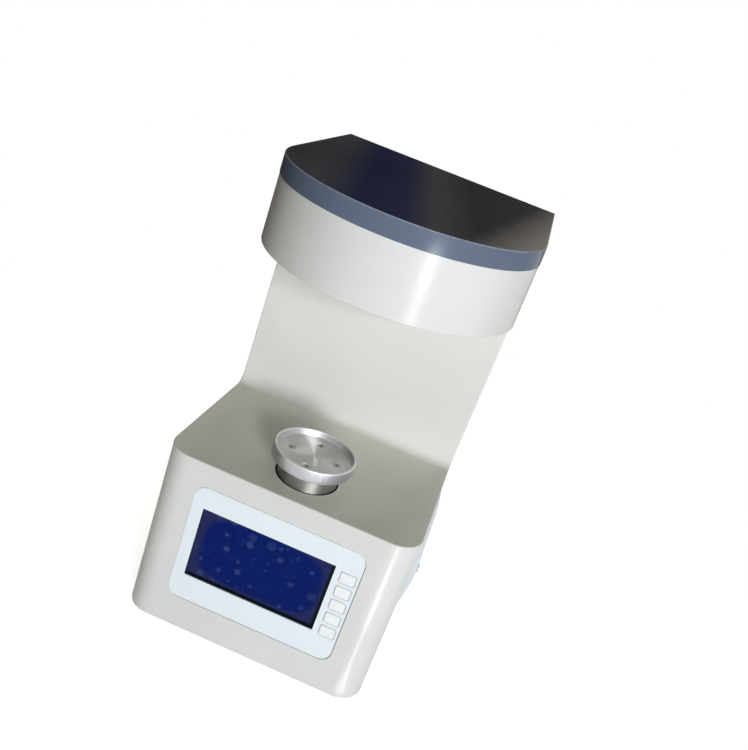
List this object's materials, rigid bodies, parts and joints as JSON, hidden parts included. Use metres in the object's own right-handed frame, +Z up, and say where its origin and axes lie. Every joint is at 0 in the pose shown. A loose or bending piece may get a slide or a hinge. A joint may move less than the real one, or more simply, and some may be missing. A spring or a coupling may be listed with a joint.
{
  "type": "surface tensiometer",
  "caption": "Bench surface tensiometer: base with display, keys and a motor-lifted sample dish, rear column, half-round balance head with a hanging hook, and a side printer.",
  "frame": {"origin": "middle of the base's footprint, on the surface that the feet stand on", "axes": "+X to the user's right, +Y to the back, +Z up"},
  "size_m": [0.2175, 0.2876, 0.394],
  "materials": {
    "housing_paint": "glossy warm grey-white enamel",
    "lid_paint": "glossy dark slate enamel",
    "panel_paint": "satin grey-white enamel",
    "overlay_film": "bluish white printed film",
    "key_film": "bluish white embossed film",
    "clear_window": "clear acrylic",
    "display_black": "black",
    "display_blue": "dark blue liquid-crystal panel",
    "circuit": "green solder mask",
    "turned_aluminium": "machined",
    "polished_steel": "polished",
    "zinc_steel": "zinc plated",
    "brass_part": "machined",
    "copper_winding": "enamelled copper wire",
    "black_plastic": "moulded",
    "printer_plastic": "bluish white moulded",
    "button_plastic": "moulded",
    "rubber": "moulded",
    "paper": "thermal paper"
  },
  "bodies": {
    "housing": {"main_housing": "housing_paint", "bottom_plate": "zinc_steel", "rubber_feet": "rubber", "bottom_screws": "zinc_steel", "head_shell": "housing_paint", "head_lid": "lid_paint", "head_bolts": "zinc_steel", "lid_screws": "zinc_steel", "front_overlay": "overlay_film", "membrane_circuit": "circuit", "key_domes": "polished_steel", "display_window": "clear_window", "display_frame": "display_black", "display_panel": "display_blue", "display_board": "circuit", "lift_pillars": "turned_aluminium", "lift_deck": "turned_aluminium", "lift_roof": "turned_aluminium", "guide_rods": "polished_steel", "stepper_motor": "black_plastic", "limit_switch": "black_plastic", "main_board": "circuit", "board_standoffs": "zinc_steel", "power_supply": "zinc_steel", "rear_panel": "panel_paint", "rear_screws": "zinc_steel", "power_inlet": "black_plastic", "switch_frame": "black_plastic", "fuse_holder": "black_plastic", "serial_port": "black_plastic", "printer_bezel": "printer_plastic", "hinge_pin": "polished_steel", "printer_tub": "printer_plastic", "print_head": "black_plastic", "balance_bracket": "turned_aluminium", "pivot_axle": "polished_steel", "magnet_cup": "zinc_steel", "hook_guard": "zinc_steel", "sensor_board": "circuit"},
    "drive_screw": {"lead_screw": "polished_steel", "shaft_coupling": "turned_aluminium"},
    "platform": {"sample_dish": "turned_aluminium", "dish_screws": "polished_steel", "platform_post": "polished_steel", "lift_carriage": "turned_aluminium", "linear_bushes": "polished_steel", "lead_nut": "brass_part"},
    "switch_rocker": {"power_rocker": "black_plastic"},
    "paper_door": {"printer_door": "printer_plastic"},
    "roll": {"paper_roll": "paper"},
    "platen": {"platen_roller": "rubber"},
    "feed_key": {"feed_button": "button_plastic"},
    "beam": {"balance_beam": "turned_aluminium", "balance_coil": "copper_winding", "hook_rod": "polished_steel"},
    "panel_key_1": {"key_1": "key_film"},
    "panel_key_2": {"key_2": "key_film"},
    "panel_key_3": {"key_3": "key_film"},
    "panel_key_4": {"key_4": "key_film"},
    "panel_key_5": {"key_5": "key_film"}
  },
  "joints": [
    {"name": "platform_lift", "type": "slide", "parent": "housing", "child": "platform", "axis": [0, 0, 1], "range_m": [-0.008, 0.022]},
    {"name": "drive_screw_turn", "type": "hinge", "parent": "housing", "child": "drive_screw", "pos_m": [0, -0.0985, 0.0654], "axis": [0, 0, 1], "range_deg": [-3965, 1445]},
    {"name": "power_switch_rock", "type": "hinge", "parent": "housing", "child": "switch_rocker", "pos_m": [0.057, 0.1425, 0.118], "axis": [1, 0, 0], "range_deg": [-16, 0]},
    {"name": "printer_door_open", "type": "hinge", "parent": "housing", "child": "paper_door", "pos_m": [0.1069, -0.0311, 0.092], "axis": [0, 1, 0], "range_deg": [0, 85]},
    {"name": "paper_roll_turn", "type": "hinge", "parent": "housing", "child": "roll", "pos_m": [0.0815, -0.0311, 0.1079], "axis": [0, 1, 0], "continuous": true},
    {"name": "platen_turn", "type": "hinge", "parent": "housing", "child": "platen", "pos_m": [0.0995, -0.0311, 0.1281], "axis": [0, 1, 0], "continuous": true},
    {"name": "feed_button_press", "type": "slide", "parent": "housing", "child": "feed_key", "axis": [-1, 0, 0], "range_m": [0, 0.0008], "stiffness_N_per_m": 600},
    {"name": "balance_beam_tilt", "type": "hinge", "parent": "housing", "child": "beam", "pos_m": [0, -0.0445, 0.3572], "axis": [1, 0, 0], "range_deg": [-1, 1], "stiffness_Nm_per_rad": 5},
    {"name": "key_1_press", "type": "slide", "parent": "housing", "child": "panel_key_1", "axis": [0, 1, 0], "range_m": [0, 0.00035], "stiffness_N_per_m": 800},
    {"name": "key_2_press", "type": "slide", "parent": "housing", "child": "panel_key_2", "axis": [0, 1, 0], "range_m": [0, 0.00035], "stiffness_N_per_m": 800},
    {"name": "key_3_press", "type": "slide", "parent": "housing", "child": "panel_key_3", "axis": [0, 1, 0], "range_m": [0, 0.00035], "stiffness_N_per_m": 800},
    {"name": "key_4_press", "type": "slide", "parent": "housing", "child": "panel_key_4", "axis": [0, 1, 0], "range_m": [0, 0.00035], "stiffness_N_per_m": 800},
    {"name": "key_5_press", "type": "slide", "parent": "housing", "child": "panel_key_5", "axis": [0, 1, 0], "range_m": [0, 0.00035], "stiffness_N_per_m": 800}
  ],
  "couplings": [
    {"joint": "drive_screw_turn", "follows": "platform_lift", "rad_per_m": -3141.6}
  ]
}
